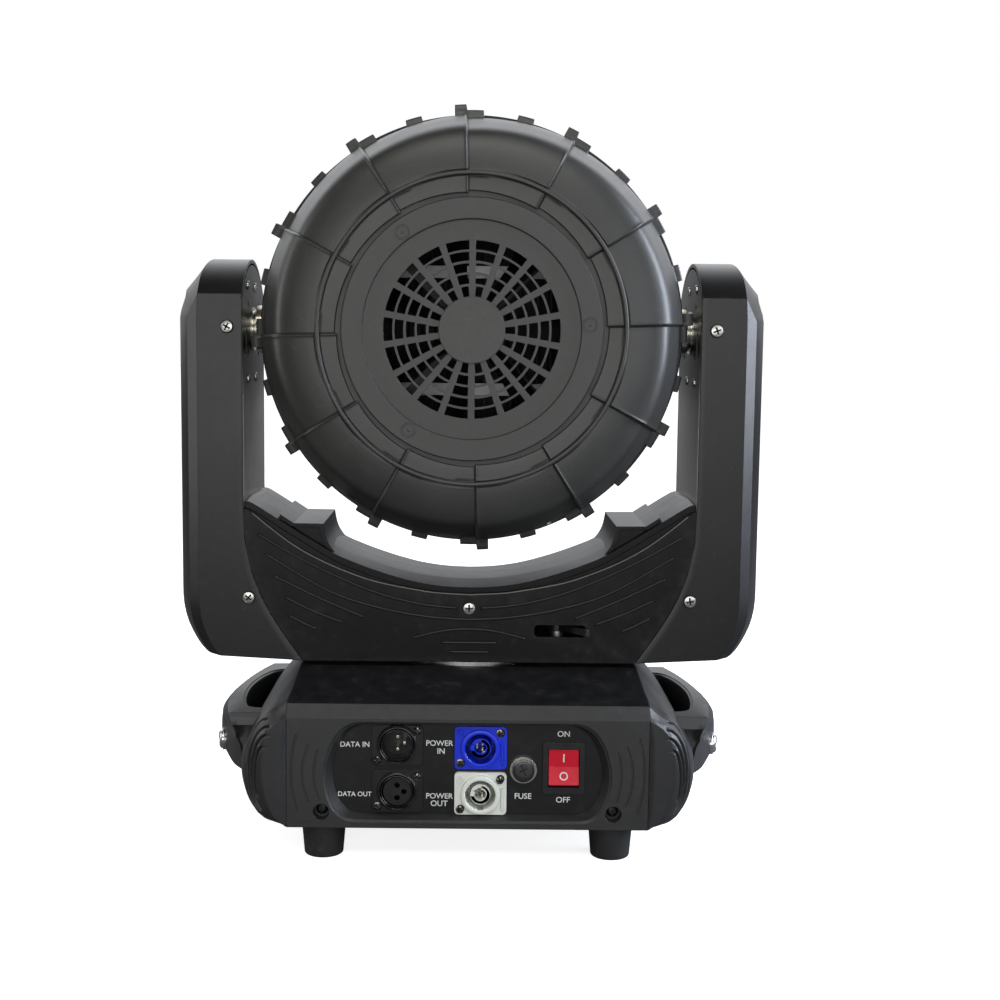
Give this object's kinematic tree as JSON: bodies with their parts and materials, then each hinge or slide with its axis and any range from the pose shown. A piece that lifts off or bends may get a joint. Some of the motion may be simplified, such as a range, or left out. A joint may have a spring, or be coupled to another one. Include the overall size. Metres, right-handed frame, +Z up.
{
  "type": "moving head light",
  "caption": "Moving head wash light: round lens head tilting in a U-shaped yoke that pans on a low base with power, data and fuse fittings.",
  "frame": {"origin": "on the pan axis at floor level, under the middle of the base", "axes": "+Z up along the pan axis; connector side faces -Y and the lenses face +Y at rest; the tilt axis is parallel to X"},
  "size_m": [0.3812, 0.2, 0.4624],
  "materials": {
    "shell_plastic": "fine-grained satin charcoal black moulding",
    "head_plastic": "satin charcoal moulding with a soft sheen",
    "grille_plastic": "satin charcoal moulding",
    "handle_plastic": "satin charcoal moulding",
    "foot_rubber": "dull black rubber",
    "panel_black": "black powder coat",
    "plate_steel": "black powder coat",
    "socket_black": "black nylon",
    "blue_plastic": "bright blue nylon",
    "white_plastic": "pale grey-white nylon",
    "contact_brass": "plated contacts",
    "black_screw": "black oxide",
    "fuse_ring": "polished plating",
    "fuse_cap_black": "black moulding",
    "rocker_red": "translucent red moulding",
    "screen_glass": "dark display window",
    "button_black": "black moulding",
    "supply_case": "sheet metal",
    "circuit_board": "green laminate",
    "hub_aluminium": "turned",
    "bearing_steel": "ground",
    "frame_steel": "light grey satin paint",
    "screw_chrome": "bright plating",
    "motor_case": "black with bright end caps",
    "pulley_aluminium": "turned",
    "belt_rubber": "black",
    "lever_black": "black",
    "fan_black": "black",
    "head_frame_steel": "black",
    "heat_sink_aluminium": "extruded",
    "led_board_white": "white solder mask on metal core",
    "carrier_black": "black",
    "lens_clear": "clear moulded lenses",
    "screw_steel": "bright",
    "shaft_chrome": "plated"
  },
  "bodies": {
    "base": {"base_rear_frame": "shell_plastic", "base_front_frame": "shell_plastic", "base_top_cover": "shell_plastic", "base_bottom_plate": "plate_steel", "rubber_feet": "foot_rubber", "side_cap_left": "shell_plastic", "side_cap_right": "shell_plastic", "handle_left": "handle_plastic", "handle_right": "handle_plastic", "handle_bolts": "screw_chrome", "connector_panel": "panel_black", "data_in_socket": "socket_black", "data_out_socket": "socket_black", "power_in_socket": "blue_plastic", "power_out_socket": "white_plastic", "socket_contacts": "contact_brass", "base_screws": "black_screw", "fuse_holder": "fuse_ring", "switch_bezel": "socket_black", "display_panel": "panel_black", "display_screen": "screen_glass", "power_supply": "supply_case", "control_board": "circuit_board", "pan_hub": "hub_aluminium", "pan_bearing": "bearing_steel"},
    "yoke": {"yoke_frame": "frame_steel", "arm_cover_left": "shell_plastic", "arm_cover_right": "shell_plastic", "yoke_cover_near": "shell_plastic", "yoke_cover_far": "shell_plastic", "yoke_screws": "screw_chrome", "pan_motor": "motor_case", "pan_belt": "belt_rubber", "tilt_motor": "motor_case", "tilt_belt": "belt_rubber", "tilt_bearings": "bearing_steel"},
    "head": {"head_rear_shell": "head_plastic", "grille_cover": "grille_plastic", "fan_frame": "fan_black", "head_front_shell": "head_plastic", "lens_bezel": "head_plastic", "head_frame": "head_frame_steel", "heat_sink": "heat_sink_aluminium", "led_board": "led_board_white", "zoom_motor": "motor_case", "tilt_shafts": "shaft_chrome", "tilt_pulley": "pulley_aluminium"},
    "fan_rotor": {"fan_rotor": "fan_black"},
    "lens_carrier": {"lens_carrier": "carrier_black", "zoom_lenses": "lens_clear"},
    "zoom_lead_screw": {"zoom_lead_screw": "screw_steel"},
    "pan_motor_pulley": {"pan_motor_pulley": "pulley_aluminium"},
    "tilt_motor_pulley": {"tilt_motor_pulley": "pulley_aluminium"},
    "switch_rocker": {"switch_rocker": "rocker_red"},
    "fuse_cap": {"fuse_cap": "fuse_cap_black"},
    "pan_lock_lever": {"pan_lock_lever": "lever_black"},
    "button_menu": {"button_menu": "button_black"},
    "button_up": {"button_up": "button_black"},
    "button_down": {"button_down": "button_black"},
    "button_enter": {"button_enter": "button_black"}
  },
  "joints": [
    {"name": "pan", "type": "hinge", "parent": "base", "child": "yoke", "pos_m": [0, 0, 0.1134], "axis": [0, 0, 1], "range_deg": [-270, 270]},
    {"name": "tilt", "type": "hinge", "parent": "yoke", "child": "head", "pos_m": [0, 0, 0.324], "axis": [1, 0, 0], "range_deg": [-45, 225]},
    {"name": "fan_spin", "type": "hinge", "parent": "head", "child": "fan_rotor", "pos_m": [0, -0.075, 0.324], "axis": [0, 1, 0], "continuous": true},
    {"name": "zoom", "type": "slide", "parent": "head", "child": "lens_carrier", "axis": [0, 1, 0], "range_m": [-0.012, 0]},
    {"name": "zoom_screw", "type": "hinge", "parent": "head", "child": "zoom_lead_screw", "pos_m": [0, 0.047, 0.4345], "axis": [0, 1, 0], "range_deg": [-725, 5]},
    {"name": "pan_pinion", "type": "hinge", "parent": "yoke", "child": "pan_motor_pulley", "pos_m": [-0.085, 0, 0.1258], "axis": [0, 0, 1], "range_deg": [-1420, 1420]},
    {"name": "tilt_pinion", "type": "hinge", "parent": "yoke", "child": "tilt_motor_pulley", "pos_m": [0.1546, 0, 0.161], "axis": [1, 0, 0], "range_deg": [-172, 852]},
    {"name": "mains_switch", "type": "hinge", "parent": "base", "child": "switch_rocker", "pos_m": [0.059, -0.08865, 0.0574], "axis": [1, 0, 0], "range_deg": [0, 18]},
    {"name": "fuse_bayonet", "type": "hinge", "parent": "base", "child": "fuse_cap", "pos_m": [0.0342, -0.095, 0.0563], "axis": [0, 1, 0], "range_deg": [-60, 0]},
    {"name": "pan_lock", "type": "hinge", "parent": "yoke", "child": "pan_lock_lever", "pos_m": [0.0571, -0.03, 0.134], "axis": [0, 0, 1], "range_deg": [-70, 0]},
    {"name": "press_menu", "type": "slide", "parent": "base", "child": "button_menu", "axis": [0, -1, 0], "range_m": [0, 0.001]},
    {"name": "press_up", "type": "slide", "parent": "base", "child": "button_up", "axis": [0, -1, 0], "range_m": [0, 0.001]},
    {"name": "press_down", "type": "slide", "parent": "base", "child": "button_down", "axis": [0, -1, 0], "range_m": [0, 0.001]},
    {"name": "press_enter", "type": "slide", "parent": "base", "child": "button_enter", "axis": [0, -1, 0], "range_m": [0, 0.001]}
  ],
  "couplings": [
    {"joint": "pan_pinion", "follows": "pan", "ratio": -5.25},
    {"joint": "tilt_pinion", "follows": "tilt", "ratio": 3.7778},
    {"joint": "zoom_screw", "follows": "zoom", "rad_per_m": 1047.2}
  ]
}
